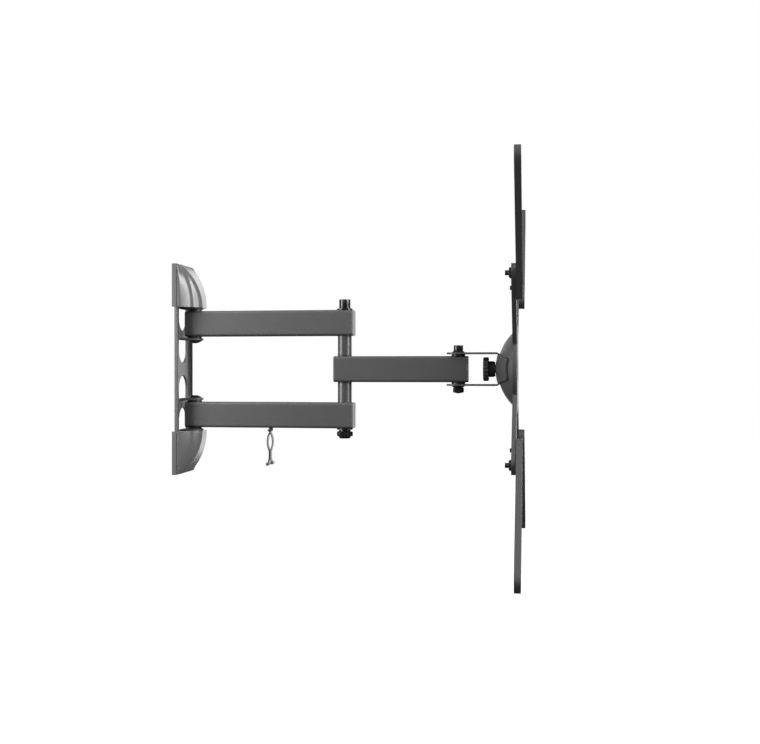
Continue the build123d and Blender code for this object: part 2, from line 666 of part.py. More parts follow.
write("wall_plate", wall_plate())
write("top_cover", top_cover())
write("bottom_cover", below(top_cover()))
write("wall_pivot_bolts", group(both(wall_pivot_bolt())))
write("wall_pivot_nuts", group(both(wall_pivot_nut())))
write("upper_arm", rear_arm_tube())
write("lower_arm", lower_arm_tube())
write("rear_arm_plugs", group([*upper_plugs, *[below(plug) for plug in upper_plugs]]))
write("wall_pivot_bushes", group([*upper_bushes, *[below(part) for part in upper_bushes]]))
write("elbow_bolt", elbow_bolt())
write("elbow_nut", elbow_nut())
write("elbow_washers", group(elbow_washers()))
write("elbow_spacers", group(both(elbow_spacer())))
write("cable_clip", cable_clip())
write("forearm", forearm_tube())
write("forearm_plugs", group(forearm_plugs()))
write("elbow_bushes", group(bush_pair(ELBOW_BUSH, ELBOW_SHANK_R, -TUBE_H / 2, TUBE_H / 2, ELBOW_X)))
write("head_bushes", group(bush_pair(HEAD_BUSH, HEAD_SHANK_R, -TUBE_H / 2, TUBE_H / 2, HEAD_PIVOT_X)))
write("swivel_bracket", swivel_bracket())
write("head_pivot_bolt", head_pivot_bolt())
write("head_pivot_nut", head_pivot_nut())
write("head_pivot_washers", group(both(head_pivot_washer())))
write("knob_washer", knob_washer())
write("tilt_knob", tilt_knob())
write("knob_insert", knob_insert())
write("tilt_bolt", tilt_bolt())
write("clamp_washer", clamp_washer())
write("tilt_dome", tilt_dome())
write("centre_plate", centre_plate())
for index, quarter_name in enumerate(QUARTERS):
    write(f"{quarter_name}_arm", on_diagonal(extension_arm(), index))
    write(f"{quarter_name}_clamp_bolt", on_diagonal(arm_clamp_bolt(), index))
    write(f"{quarter_name}_clamp_nut", on_diagonal(arm_clamp_nut(), index))
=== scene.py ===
"""Looks of the full motion television wall mount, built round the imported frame.

Lengths are in metres, in the frame's own axes: +X out from the wall, +Y sideways and +Z up. The
origin is the centre of the wall plate's back face.
"""
import json
import math
from collections import namedtuple

import bmesh
import bpy
from mathutils import Matrix, Vector


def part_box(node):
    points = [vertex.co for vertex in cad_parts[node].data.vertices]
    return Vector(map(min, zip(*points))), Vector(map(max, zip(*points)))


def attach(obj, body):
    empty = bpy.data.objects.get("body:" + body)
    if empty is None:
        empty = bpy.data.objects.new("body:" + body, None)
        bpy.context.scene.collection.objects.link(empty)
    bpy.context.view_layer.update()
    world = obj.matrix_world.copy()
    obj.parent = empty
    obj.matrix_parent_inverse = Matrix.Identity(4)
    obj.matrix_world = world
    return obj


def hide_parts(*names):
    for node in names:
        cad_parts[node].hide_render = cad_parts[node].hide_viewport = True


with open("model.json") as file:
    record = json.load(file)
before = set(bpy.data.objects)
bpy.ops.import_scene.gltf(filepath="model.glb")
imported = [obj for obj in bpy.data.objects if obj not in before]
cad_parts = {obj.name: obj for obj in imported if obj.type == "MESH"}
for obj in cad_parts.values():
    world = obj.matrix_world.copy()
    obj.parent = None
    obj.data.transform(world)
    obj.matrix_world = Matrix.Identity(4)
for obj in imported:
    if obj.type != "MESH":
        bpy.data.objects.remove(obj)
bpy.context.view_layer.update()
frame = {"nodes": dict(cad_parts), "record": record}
MM = 0.001
RECORD = frame["record"]
BODY_OF = {node: body for body, nodes in RECORD["behaviour"]["bodies"].items() for node in nodes}
SLOT_OF = {part["node"]: part["material_slot"] for part in RECORD["subparts"]}
QUARTERS = ("top_right", "bottom_right", "bottom_left", "top_left")


# --- camera, light and stage ------------------------------------------------------------------
CAMERA_PLACE = Vector((0.4182, -1.1723, -0.0001))
CAMERA_YAW = 0.1512                  # radians, turned from +Y towards the wall
CAMERA_PITCH = -0.0027
CAMERA_LENS = 48.576                 # millimetres, as is the sensor
SENSOR_WIDTH = 36.0
MIDDLE = Vector((0.20, 0.0, 0.0))    # the point that the lights face
# Azimuth from -Y towards +X in degrees, distance, height, the panel's two sides, and watts.
LIGHTS = {
    "left_softbox": (-57, 0.75, 0.30, (0.36, 1.05), 14),
    "right_softbox": (72, 1.2, 0.65, (0.50, 1.6), 44),
    "front_fill": (-8, 2.2, 0.9, (1.0, 0.8), 4),
    "rim_softbox": (168, 1.7, 0.10, (1.4, 1.5), 16),
    "wall_side_rim": (-150, 1.9, 0.5, (0.8, 1.2), 5),
}
WHITE = (1, 1, 1, 1)
SEEN_STRENGTH = 1.0                  # the world, as the camera sees it
FILL_STRENGTH = 0.16                 # the world, as a light
FLOOR_Z = -0.80
FLOOR_HALF_W = 6.0
FLOOR_CELLS = 8
FLOOR_GLOW = 1.0


def add_camera():
    level = math.cos(CAMERA_PITCH)
    across, ahead = -math.sin(CAMERA_YAW) * level, math.cos(CAMERA_YAW) * level
    forward = Vector((across, ahead, math.sin(CAMERA_PITCH)))
    data = bpy.data.cameras.new("camera")
    data.lens = CAMERA_LENS
    data.sensor_width = SENSOR_WIDTH
    camera = bpy.data.objects.new("camera", data)
    camera.location = CAMERA_PLACE
    camera.rotation_euler = forward.to_track_quat("-Z", "Y").to_euler()
    bpy.context.scene.collection.objects.link(camera)
    bpy.context.scene.camera = camera


def softbox(name, azimuth, distance, height, size, watts):
    """A soft rectangular light that faces the object."""
    data = bpy.data.lights.new(name, "AREA")
    data.shape = "RECTANGLE"
    data.size, data.size_y = size
    data.energy = watts
    lamp = bpy.data.objects.new(name, data)
    turn = math.radians(azimuth)
    lamp.location = MIDDLE + Vector((math.sin(turn) * distance, -math.cos(turn) * distance, height))
    lamp.rotation_euler = (MIDDLE - lamp.location).to_track_quat("-Z", "Y").to_euler()
    lamp.visible_camera = False
    bpy.context.scene.collection.objects.link(lamp)


def add_world():
    """White to the camera, and a soft grey fill to everything else."""
    world = bpy.data.worlds.new("studio")
    bpy.context.scene.world = world
    world.use_nodes = True
    tree = world.node_tree
    tree.nodes.clear()
    seen = tree.nodes.new("ShaderNodeBackground")
    seen.inputs["Color"].default_value = WHITE
    seen.inputs["Strength"].default_value = SEEN_STRENGTH
    fill = tree.nodes.new("ShaderNodeBackground")
    fill.inputs["Color"].default_value = WHITE
    fill.inputs["Strength"].default_value = FILL_STRENGTH
    path = tree.nodes.new("ShaderNodeLightPath")
    mix = tree.nodes.new("ShaderNodeMixShader")
    out = tree.nodes.new("ShaderNodeOutputWorld")
    tree.links.new(path.outputs["Is Camera Ray"], mix.inputs[0])
    tree.links.new(fill.outputs[0], mix.inputs[1])
    tree.links.new(seen.outputs[0], mix.inputs[2])
    tree.links.new(mix.outputs[0], out.inputs["Surface"])


def add_floor():
    """A plain pale floor, lifted to the white of the background."""
    made = bmesh.new()
    bmesh.ops.create_grid(made, x_segments=FLOOR_CELLS, y_segments=FLOOR_CELLS, size=FLOOR_HALF_W)
    mesh = bpy.data.meshes.new("floor")
    made.to_mesh(mesh)
    made.free()
    floor = bpy.data.objects.new("floor", mesh)
    floor.location = (MIDDLE.x, 0, FLOOR_Z)
    bpy.context.scene.collection.objects.link(floor)
    surface = Surface("pale_floor")
    shade = surface.noise(scale=3.0, detail=2.0)
    surface.colour(surface.ramp(shade, ((0.0, grey(0.86)), (1.0, grey(0.92)))))
    surface.set("Roughness", 0.8)
    surface.set("Emission Color", WHITE)
    surface.set("Emission Strength", FLOOR_GLOW)
    mesh.materials.append(surface.material)
    floor.visible_glossy = False
    floor.visible_diffuse = False


# --- materials --------------------------------------------------------------------------------
EDGE_SAMPLES = 6
EDGE_ANGLE = (0.995, 0.90)           # cosines between which an edge's mask goes from 0 to 1


class Surface:
    """A Principled material whose colour, roughness and relief come from procedural nodes."""

    def __init__(self, name):
        self.material = bpy.data.materials.new(name)
        self.material.use_nodes = True
        self.tree = self.material.node_tree
        self.shader = self.tree.nodes["Principled BSDF"]
        self.place = self.tree.nodes.new("ShaderNodeTexCoord").outputs["Object"]
        self.normal = None

    def feed(self, socket, value):
        """Links a socket to another node's output, or sets it to a plain value."""
        if isinstance(value, bpy.types.NodeSocket):
            self.tree.links.new(value, socket)
        else:
            socket.default_value = value

    def add(self, kind, inputs=None, **settings):
        node = self.tree.nodes.new(kind)
        for name, value in settings.items():
            setattr(node, name, value)
        for name, value in (inputs or {}).items():
            self.feed(node.inputs[name], value)
        return node

    def noise(self, scale, detail, place=None, rough=0.5):
        inputs = {"Vector": place or self.place, "Scale": scale, "Detail": detail, "Roughness": rough}
        return self.add("ShaderNodeTexNoise", inputs).outputs["Fac"]

    def cells(self, scale):
        return self.add("ShaderNodeTexVoronoi", {"Vector": self.place, "Scale": scale}).outputs["Distance"]

    def stretched(self, scale):
        """The place, scaled differently along X, Y and Z, for streaks."""
        inputs = {"Vector": self.place, "Scale": scale}
        return self.add("ShaderNodeMapping", inputs).outputs["Vector"]

    def ramp(self, factor, stops):
        """Colours along a factor. A stop is (position, colour)."""
        node = self.add("ShaderNodeValToRGB", {"Fac": factor})
        for element, (position, colour) in zip(node.color_ramp.elements, stops, strict=True):
            element.position = position
            element.color = (*colour, 1.0)
        return node.outputs["Color"]

    def blend(self, factor, first, second, kind="MIX"):
        """Mixes two colours. The numbers are the Mix node's sockets for colours."""
        node = self.add("ShaderNodeMix", data_type="RGBA", blend_type=kind)
        for index, value in ((0, factor), (6, first), (7, second)):
            self.feed(node.inputs[index], value)
        return node.outputs[2]

    def between(self, factor, low, high):
        inputs = {"Value": factor, "To Min": low, "To Max": high}
        return self.add("ShaderNodeMapRange", inputs).outputs["Result"]

    def soft_edges(self, radius):
        """Rounds the look of sharp edges, and gives a mask that is 1 along them."""
        self.normal = self.add("ShaderNodeBevel", {"Radius": radius}, samples=EDGE_SAMPLES).outputs["Normal"]
        flat = self.add("ShaderNodeNewGeometry").outputs["Normal"]
        dot = self.add("ShaderNodeVectorMath", operation="DOT_PRODUCT")
        self.tree.links.new(self.normal, dot.inputs[0])
        self.tree.links.new(flat, dot.inputs[1])
        none, full = EDGE_ANGLE
        inputs = {"Value": dot.outputs["Value"], "From Min": none, "From Max": full}
        return self.add("ShaderNodeMapRange", inputs).outputs["Result"]

    def relief(self, height, depth, strength):
        inputs = {"Height": height, "Distance": depth, "Strength": strength}
        if self.normal is not None:
            inputs["Normal"] = self.normal
        self.normal = self.add("ShaderNodeBump", inputs).outputs["Normal"]

    def colour(self, socket):
        self.tree.links.new(socket, self.shader.inputs["Base Color"])

    def set(self, name, value):
        self.feed(self.shader.inputs[name], value)

    def finish(self):
        if self.normal is not None:
            self.tree.links.new(self.normal, self.shader.inputs["Normal"])
        return self.material


def grey(value, warmth=0.0):
    return (value * (1 + warmth), value, value * (1 - warmth))


def powder_coat(name, tone, roughness):
    """Fine-grained baked powder: a sandy grain, a soft orange peel, and colour darkened along the edges as
    painted shade.
    """
    surface = Surface(name)
    edges = surface.soft_edges(0.5 * MM)
    cloudy = surface.noise(scale=90, detail=4.0)
    grain = surface.noise(scale=2100, detail=3.0, rough=0.65)
    speck = surface.cells(scale=1500)
    body = surface.ramp(grain, ((0.30, grey(tone * 0.80)), (0.70, grey(tone * 1.18))))
    patchy = surface.ramp(cloudy, ((0.25, grey(0.90)), (0.75, grey(1.0))))
    tinted = surface.blend(1.0, body, patchy, "MULTIPLY")
    flecks = surface.between(speck, 0.10, 0.0)
    tinted = surface.blend(flecks, tinted, (*grey(tone * 1.9), 1))
    # Painted shade: the colour darkens towards the edges, standing in for the dark line that light leaves
    # along rounded edges.
    surface.colour(surface.blend(surface.between(edges, 0.0, 0.8), tinted, (*grey(tone * 0.45), 1)))
    surface.set("Roughness", surface.between(grain, roughness - 0.05, roughness + 0.07))
    surface.relief(surface.noise(scale=650, detail=2.0), depth=0.018 * MM, strength=0.7)
    surface.relief(grain, depth=0.03 * MM, strength=0.55)
    return surface.finish()


def moulded(name, tone, roughness, pebble, depth):
    """Moulded plastic: a fine spark-eroded pebble, faint flow clouds and paler, eased edges."""
    surface = Surface(name)
    edges = surface.soft_edges(0.35 * MM)
    pebbles = surface.noise(scale=pebble, detail=2.0, rough=0.6)
    flow = surface.noise(scale=55, detail=3.0, place=surface.stretched((1.0, 1.0, 0.35)))
    body = surface.ramp(flow, ((0.3, grey(tone * 0.93)), (0.7, grey(tone * 1.06))))
    surface.colour(surface.blend(surface.between(edges, 0.0, 0.25), body, (*grey(tone * 1.6), 1)))
    surface.set("Roughness", surface.between(pebbles, roughness - 0.05, roughness + 0.06))
    surface.relief(pebbles, depth=depth, strength=0.5)
    return surface.finish()


def dark_steel(name, tone, roughness):
    """Black-oxide steel: fine turning marks, an uneven oxide and bright rubbed edges."""
    surface = Surface(name)
    edges = surface.soft_edges(0.25 * MM)
    oxide = surface.noise(scale=420, detail=4.0, rough=0.6)
    marks = surface.noise(scale=900, detail=2.0, place=surface.stretched((0.25, 0.25, 3.0)))
    body = surface.ramp(oxide, ((0.3, grey(tone * 0.75)), (0.7, grey(tone * 1.2, warmth=0.02))))
    surface.colour(surface.blend(surface.between(edges, 0.0, 0.5), body, (*grey(tone * 2.6), 1)))
    surface.set("Metallic", 0.9)
    surface.set("Roughness", surface.between(oxide, roughness - 0.05, roughness + 0.10))
    surface.relief(marks, depth=0.006 * MM, strength=0.5)
    return surface.finish()


def brass(name):
    """Turned brass with uneven tarnish."""
    surface = Surface(name)
    surface.soft_edges(0.2 * MM)
    tarnish = surface.noise(scale=380, detail=4.0)
    surface.colour(surface.ramp(tarnish, ((0.3, (0.50, 0.36, 0.13)), (0.7, (0.66, 0.50, 0.22)))))
    surface.set("Metallic", 1.0)
    surface.set("Roughness", surface.between(tarnish, 0.24, 0.40))
    marks = surface.noise(scale=1200, detail=2.0, place=surface.stretched((3.0, 0.3, 0.3)))
    surface.relief(marks, depth=0.005 * MM, strength=0.5)
    return surface.finish()


SMOOTHER = {"elbow_spacers": "satin_coat"}       # nodes painted more smoothly than their slot says
PAINTS = {                           # tone and roughness
    "powder_coat": (0.047, 0.48),
    "head_coat": (0.037, 0.50),
}
PLASTICS = {                         # tone, roughness, and the pebble's scale and depth
    "cover_plastic": (0.095, 0.25, 1500, 0.008 * MM),
    "plug_plastic": (0.060, 0.50, 1300, 0.018 * MM),
    "black_nylon": (0.011, 0.40, 1800, 0.008 * MM),
    "satin_coat": (0.045, 0.29, 1400, 0.004 * MM),
    "knob_plastic": (0.018, 0.46, 1100, 0.022 * MM),
    "clip_plastic": (0.050, 0.38, 1500, 0.008 * MM),
}


def make_materials():
    made = {name: powder_coat(name, *values) for name, values in PAINTS.items()}
    made.update({name: moulded(name, *values) for name, values in PLASTICS.items()})
    made["black_steel"] = dark_steel("black_steel", tone=0.040, roughness=0.22)
    made["brass"] = brass("brass")
    return made


def paint_cad_nodes():
    """Gives each CAD node its slot's finish, or a smoother one."""
    for node, thing in frame["nodes"].items():
        for holder in thing.material_slots:
            holder.material = MATERIALS[SMOOTHER.get(node, SLOT_OF[node])]


# --- mesh tools -------------------------------------------------------------------------------
SMOOTH_BELOW = math.radians(32)
SAME_POINT = 1e-7


def piece(name, points, faces, node):
    """A finished mesh that stands for a CAD node: it rides on the node's body, in its finish."""
    made = bmesh.new()
    corners = [made.verts.new(point) for point in points]
    for face in faces:
        made.faces.new([corners[index] for index in face])
    bmesh.ops.remove_doubles(made, verts=made.verts, dist=SAME_POINT)
    bmesh.ops.dissolve_degenerate(made, edges=made.edges, dist=SAME_POINT)
    bmesh.ops.recalc_face_normals(made, faces=made.faces)
    mesh = bpy.data.meshes.new(name)
    made.to_mesh(mesh)
    made.free()
    mesh.shade_smooth()
    mesh.set_sharp_from_angle(angle=SMOOTH_BELOW)
    mesh.materials.append(MATERIALS[SLOT_OF[node]])
    thing = bpy.data.objects.new(name, mesh)
    bpy.context.scene.collection.objects.link(thing)
    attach(thing, BODY_OF[node])
    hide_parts(node)


def grid_faces(rows, columns, start=0, wrap=False):
    """Quads between neighbouring points of a grid that is listed row by row."""
    faces = []
    last = columns if wrap else columns - 1
    for row in range(rows - 1):
        for column in range(last):
            beside = (column + 1) % columns
            low = start + row * columns
            high = low + columns
            faces.append((low + column, low + beside, high + beside, high + column))
    return faces


def turned(rows, sides, start=0, ring=False):
    """A solid turned about Z. A row is (height, radius, form), and form shapes its circle.

    start is the number of points that the piece has already. A ring joins its last row to its
    first, and any other solid is closed at both ends.
    """
    points = []
    for height, radius, form in rows:
        for step in range(sides):
            angle = math.tau * step / sides
            reach = form(angle, radius, height) if form else radius
            points.append(Vector((reach * math.cos(angle), reach * math.sin(angle), height)))
    faces = grid_faces(len(rows), sides, start, wrap=True)
    first, last = start, start + (len(rows) - 1) * sides
    if ring:
        for column in range(sides):
            beside = (column + 1) % sides
            faces.append((last + column, last + beside, first + beside, first + column))
        return points, faces
    for row_start, height in ((first, rows[0][0]), (last, rows[-1][0])):
        centre = start + len(points)
        points.append(Vector((0, 0, height)))
        for column in range(sides):
            faces.append((centre, row_start + column, row_start + (column + 1) % sides))
    return points, faces


def moved(points, matrix):
    return [matrix @ point for point in points]


def upright(x, flip=False):
    """Places a turned solid on a vertical axis, upside down if flip is set."""
    turn = Matrix.Rotation(math.pi, 4, "X") if flip else Matrix.Identity(4)
    return Matrix.Translation((x, 0, 0)) @ turn


def along_x(y, z):
    """Places a turned solid with its height along +X."""
    return Matrix.Translation((0, y, z)) @ Matrix.Rotation(math.radians(90), 4, "Y")


def quarter_turn(steps, first=0):
    """Angles from 0 to a right angle, without the first few if asked."""
    return [math.pi / 2 * step / steps for step in range(first, steps + 1)]


# --- forms of a turned row --------------------------------------------------------------------
def polygonal(corners, width):
    """Cuts a circle down to a regular polygon that is width across its flats."""
    def form(angle, radius, height):
        across = angle % (math.tau / corners) - math.pi / corners
        return min(radius, width / 2 / math.cos(across))
    return form


def knurled(ribs, depth):
    """Rounded ribs with sharper grooves between them."""
    def form(angle, radius, height):
        wave = 0.5 + 0.5 * math.cos(ribs * angle)
        return radius - depth * (1 - wave) ** 1.5
    return form


def fluted(flutes, depth):
    """Round lobes with narrower grooves between them."""
    def form(angle, radius, height):
        wave = 0.5 - 0.5 * math.cos(flutes * angle)
        return radius - depth * wave ** 3
    return form


def threaded(pitch, depth):
    """A screw thread's groove, which moves round as the height grows."""
    def form(angle, radius, height):
        phase = (height / pitch - angle / math.tau) % 1.0
        return radius - depth * (1 - abs(2 * phase - 1)) ** 0.8
    return form


# --- screws and nuts --------------------------------------------------------------------------
FIT = 0.02 * MM                      # from a thread's nominal radius out to a bore or in to a crest
THREAD_ROWS = 7                      # rows in each turn of a thread
TIP_EASE = 0.1 * MM
# The crest is the thread's outer radius. The tip begins tip_start from the CAD screw's end, and
# its face is smaller than the shank by tip_cut. The run-out is where the thread fades to plain.
Screw = namedtuple("Screw", "radius crest pitch depth tip_start tip_cut tip_length run_out sides")
ELBOW_SCREW = Screw(
    radius=5.0 * MM, crest=5.0 * MM - FIT, pitch=1.5 * MM, depth=0.8 * MM, tip_start=0.02 * MM,
    tip_cut=0.9 * MM, tip_length=0.6 * MM, run_out=0.6 * MM, sides=176)
HEAD_SCREW = Screw(
    radius=3.0 * MM, crest=3.0 * MM - FIT, pitch=1.0 * MM, depth=0.5 * MM, tip_start=0.0,
    tip_cut=0.6 * MM, tip_length=0.4 * MM, run_out=0.5 * MM, sides=144)
CLAMP_SCREW = HEAD_SCREW._replace(radius=2.98 * MM, crest=2.98 * MM, sides=72)
# A cap screw's head, as heights over the seat or depths under the top with the inset, in mm.
HEAD_FOOT = ((0.0, 0.3), (0.2, 0.05), (0.5, 0.0))
HEAD_RIM = ((0.6, 0.0), (0.3, 0.08), (0.08, 0.28), (0.0, 0.6))
SOCKET_FLOOR = 0.45                  # the socket's floor, as a share of the head's height
SOCKET_REACH = 0.6                   # the countersink's radius, as a share of the width across flats
ELBOW_SOCKET_W = 7.0 * MM
HEAD_SOCKET_W = 5.0 * MM
NUT_SIDES = 96
NUT_STEPS = 5                        # rows in each chamfer
NUT_CHAMFER = 0.8 * MM
NUT_SINK = 0.5 * MM                  # the bore's countersink
NUT_FACE = (0.93, 0.95)              # end face and chamfer's start, as shares of half the width
ELBOW_NUT_W = 16.3 * MM
HEAD_NUT_W = 10.8 * MM
CLAMP_NUT_W = 10.0 * MM
COLLAR_H = 2.2 * MM                  # the lock nut's collar
FLANGE_H = 1.5 * MM
FLANGE_R = 6.5 * MM
DOME_R = 7.0 * MM                    # the carriage bolts' heads
DOME_EASE = 0.2 * MM
DOME_STEPS = 12
NECK_H = 1.7 * MM
NECK_REACH = 1.38                    # the square neck's corners, as a share of its half width


def shank_rows(screw, low, thread_end, top):
    """Rows of a screw: its tip, its thread, and its plain shank up to top."""
    start = low + screw.tip_length + TIP_EASE
    steps = math.ceil((thread_end - start) / screw.pitch * THREAD_ROWS)
    form = threaded(screw.pitch, screw.depth)
    rows = [(low + screw.tip_start, screw.radius - screw.tip_cut, None),
            (low + screw.tip_length, screw.radius - TIP_EASE, None)]
    rows += [(start + (thread_end - start) * step / steps, screw.crest, form) for step in range(steps + 1)]
    rows += [(thread_end + screw.run_out, screw.crest, None), (top, screw.crest, None)]
    return rows


def socket_head_rows(seat, top, radius, socket_width):
    """A cap screw's head from its seat up: a plain side, an eased rim and a hexagonal socket."""
    floor = seat + (top - seat) * SOCKET_FLOOR
    socket = polygonal(6, socket_width)
    reach = socket_width * SOCKET_REACH
    rows = [(seat + up * MM, radius - inset * MM, None) for up, inset in HEAD_FOOT]
    rows += [(top - down * MM, radius - inset * MM, None) for down, inset in HEAD_RIM]
    rows += [(top, reach + 0.25 * MM, None), (top - 0.3 * MM, reach, None)]
    rows += [(top - 0.7 * MM, reach, socket), (floor, reach, socket)]
    return rows


def nut_rows(low, high, width, bore, ending=()):
    """A hexagon nut as a ring: chamfered corners and a countersunk bore.

    ending is the rows of a collar or flange on its upper face, which take the place of the
    countersink there.
    """
    flats = polygonal(6, width)
    corner = width / math.sqrt(3)
    face, chamfer_start = (width / 2 * share for share in NUT_FACE)
    chamfer = []
    for step in range(NUT_STEPS + 1):
        share = step / NUT_STEPS
        chamfer.append((0.1 * MM + NUT_CHAMFER * share, chamfer_start + (corner - chamfer_start) * share))
    rows = [(low, bore + NUT_SINK, None), (low, face, None)]
    rows += [(low + depth, radius, flats) for depth, radius in chamfer]
    rows += [(high - depth, radius, flats) for depth, radius in reversed(chamfer)]
    rows.append((high, face, None))
    rows += ending or [(high, bore + NUT_SINK, None), (high - NUT_SINK, bore, None)]
    rows.append((low + NUT_SINK, bore, None))
    return rows


def cap_screw(name, node, screw, seat, thread_end, socket_width):
    """Makes an upright cap screw in its CAD node's place, and gives the X of its axis."""
    low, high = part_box(node)
    x = (low.x + high.x) / 2
    rows = shank_rows(screw, low.z, thread_end, seat)
    rows += socket_head_rows(seat, high.z, (high.x - low.x) / 2, socket_width)
    points, faces = turned(rows, screw.sides)
    piece(name, moved(points, upright(x)), faces, node)
    return x


def elbow_fasteners():
    """The elbow's cap screw and its lock nut."""
    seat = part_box("elbow_washers")[1].z
    nut_low, nut_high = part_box("elbow_nut")
    thread_end = nut_high.z + 3.0 * MM
    x = cap_screw("elbow_cap_screw", "elbow_bolt", ELBOW_SCREW, seat, thread_end, ELBOW_SOCKET_W)
    bore = ELBOW_SCREW.radius + FIT
    top = -nut_low.z
    collar = [
        (top - COLLAR_H, 7.0 * MM, None), (top - COLLAR_H * 0.35, 6.7 * MM, None),
        (top - 0.25 * MM, 6.2 * MM, None), (top, 5.7 * MM, None), (top, bore + 0.1 * MM, None)]
    rows = nut_rows(-nut_high.z, top - COLLAR_H, ELBOW_NUT_W, bore, collar)
    points, faces = turned(rows, NUT_SIDES, ring=True)
    piece("elbow_lock_nut", moved(points, upright(x, flip=True)), faces, "elbow_nut")


def head_pivot_fasteners():
    """The head pivot's cap screw and its hexagon nut."""
    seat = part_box("head_pivot_washers")[1].z
    nut_low, nut_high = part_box("head_pivot_nut")
    thread_end = nut_high.z + 0.5 * MM
    x = cap_screw("head_pivot_screw", "head_pivot_bolt", HEAD_SCREW, seat, thread_end, HEAD_SOCKET_W)
    rows = nut_rows(-nut_high.z, -nut_low.z, HEAD_NUT_W, HEAD_SCREW.radius + FIT)
    points, faces = turned(rows, NUT_SIDES, ring=True)
    piece("head_pivot_hex_nut", moved(points, upright(x, flip=True)), faces, "head_pivot_nut")


def clamp_fasteners(quarter):
    """A carriage bolt through an extension arm's slot, with its flanged nut on the wall side."""
    low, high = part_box(f"{quarter}_clamp_bolt")
    nut_low, nut_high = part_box(f"{quarter}_clamp_nut")
    place = along_x((low.y + high.y) / 2, (low.z + high.z) / 2)
    seat = next(mount for mount in RECORD["mounts"] if mount["name"] == "vesa_400")["pos_m"][0]
    half_neck = CLAMP_SCREW.radius
    neck = polygonal(4, 2 * half_neck)
    rows = shank_rows(CLAMP_SCREW, low.x, nut_high.x + 0.1 * MM, seat - NECK_H - 0.05 * MM)
    rows += [(seat - NECK_H, half_neck * NECK_REACH, neck), (seat, half_neck * NECK_REACH, neck)]
    rows += [(seat, DOME_R - DOME_EASE, None), (seat + 0.3 * MM, DOME_R, None)]
    side = seat + 0.7 * MM
    for turn in quarter_turn(DOME_STEPS, first=1)[:-1]:
        rows.append((side + (high.x - side) * math.sin(turn), DOME_R * math.cos(turn), None))
    points, faces = turned(rows, CLAMP_SCREW.sides)
    piece(f"{quarter}_carriage_bolt", moved(points, place), faces, f"{quarter}_clamp_bolt")

    bore = CLAMP_SCREW.radius + FIT
    top = nut_high.x
    flange = [
        (top - FLANGE_H, 5.2 * MM, None), (top - FLANGE_H * 0.5, FLANGE_R - 0.2 * MM, None),
        (top - 0.2 * MM, FLANGE_R, None), (top, FLANGE_R - 0.1 * MM, None), (top, bore + 0.1 * MM, None)]
    rows = nut_rows(nut_low.x, top - FLANGE_H, CLAMP_NUT_W, bore, flange)
    points, faces = turned(rows, NUT_SIDES, ring=True)
    piece(f"{quarter}_flange_nut", moved(points, place), faces, f"{quarter}_clamp_nut")


# --- tilt knob --------------------------------------------------------------------------------
KNOB_SIDES = 216
KNOB_DISC = 6.3 * MM                 # how deep the fluted disc is
KNOB_EDGE_R = 1.1 * MM
KNOB_EDGE_STEPS = 6
KNOB_HUB_R = 9.05 * MM
KNOB_DISH = ((0.9, 0.30), (0.8, 0.52), (0.35, 0.60), (0.0, 0.68))    # depth in mm, share of the radius
KNOB_LOBES = fluted(18, 0.9 * MM)
KNOB_RIBS = knurled(30, 0.35 * MM)


def knob_grip():
    """The fluted grip: lobed disc with rounded rims and a dished face, ribbed hub, blind bore."""
    low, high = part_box("tilt_knob")
    radius = (high.z - low.z) / 2
    insert_low, insert_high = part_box("knob_insert")
    bore = (insert_high.z - insert_low.z) / 2
    face, end = low.x, high.x
    back = face + KNOB_DISC
    inside = radius - KNOB_EDGE_R
    rows = [(face + depth * MM, radius * share, None) for depth, share in KNOB_DISH]
    for turn in quarter_turn(KNOB_EDGE_STEPS):
        along, out = KNOB_EDGE_R * (1 - math.cos(turn)), KNOB_EDGE_R * math.sin(turn)
        rows.append((face + along, inside + out, KNOB_LOBES))
    for turn in quarter_turn(KNOB_EDGE_STEPS):
        along, out = KNOB_EDGE_R * (1 - math.sin(turn)), KNOB_EDGE_R * math.cos(turn)
        rows.append((back - along, inside + out, KNOB_LOBES))
    rows += [
        (back, KNOB_HUB_R + 0.8 * MM, None), (back + 0.25 * MM, KNOB_HUB_R + 0.2 * MM, None),
        (back + 0.7 * MM, KNOB_HUB_R, KNOB_RIBS), (end - 0.7 * MM, KNOB_HUB_R, KNOB_RIBS),
        (end - 0.3 * MM, KNOB_HUB_R - 0.2 * MM, None), (end, KNOB_HUB_R - 0.5 * MM, None),
        (end, bore, None), (insert_low.x, bore, None)]
    points, faces = turned(rows, KNOB_SIDES)
    piece("knob_grip", moved(points, along_x(0, 0)), faces, "tilt_knob")


# --- wall plate covers ------------------------------------------------------------------------
RIM_DEPTH = 5.0 * MM                 # straight side walls against the wall
RIM_LIP = 0.35 * MM
RIM_POINTS = 7                       # of the outline's points
GROOVE = (0.8 * MM, 1.0 * MM)        # width and depth of the line between the rim and the body
FRONT_ARC = (-36.9 * MM, 72.5 * MM, 66.0 * MM)   # centre and radius of the front's curve
STRIP_HALF_W = (8.0 * MM, 10.0 * MM, 1.8)        # front strip's low end, widening, and its power
COVER_WALL = 2.0 * MM
EDGE_R = 0.9 * MM
BULGE = (                            # share of the way along the side, and how far it stands out, in mm
    (0.0, 0.0), (0.06, 1.50), (0.15, 2.00), (0.44, 2.40), (0.53, 2.10), (0.63, 1.30), (0.71, 1.15),
    (0.80, 1.25), (0.89, 0.90), (1.0, 0.0))
FULL_SIDE = 32.0 * MM                # length of the side where the bulge has its full height
FULL_DEPTH = 6.0 * MM                # depth past the rim where the groove and bulge are full
LEAST_LINING = (0.6 * MM, 1.0 * MM)  # the inside's least depth and half width
SIDE_STEPS = 34
EDGE_STEPS = 6
STRIP_STEPS = 10
COVER_ROWS = 56
END_R = 0.8 * MM                     # rounding of the cover's end
END_STEPS = 4
END_DEPTH = 8.0 * MM                 # depth over which the rounded end draws in
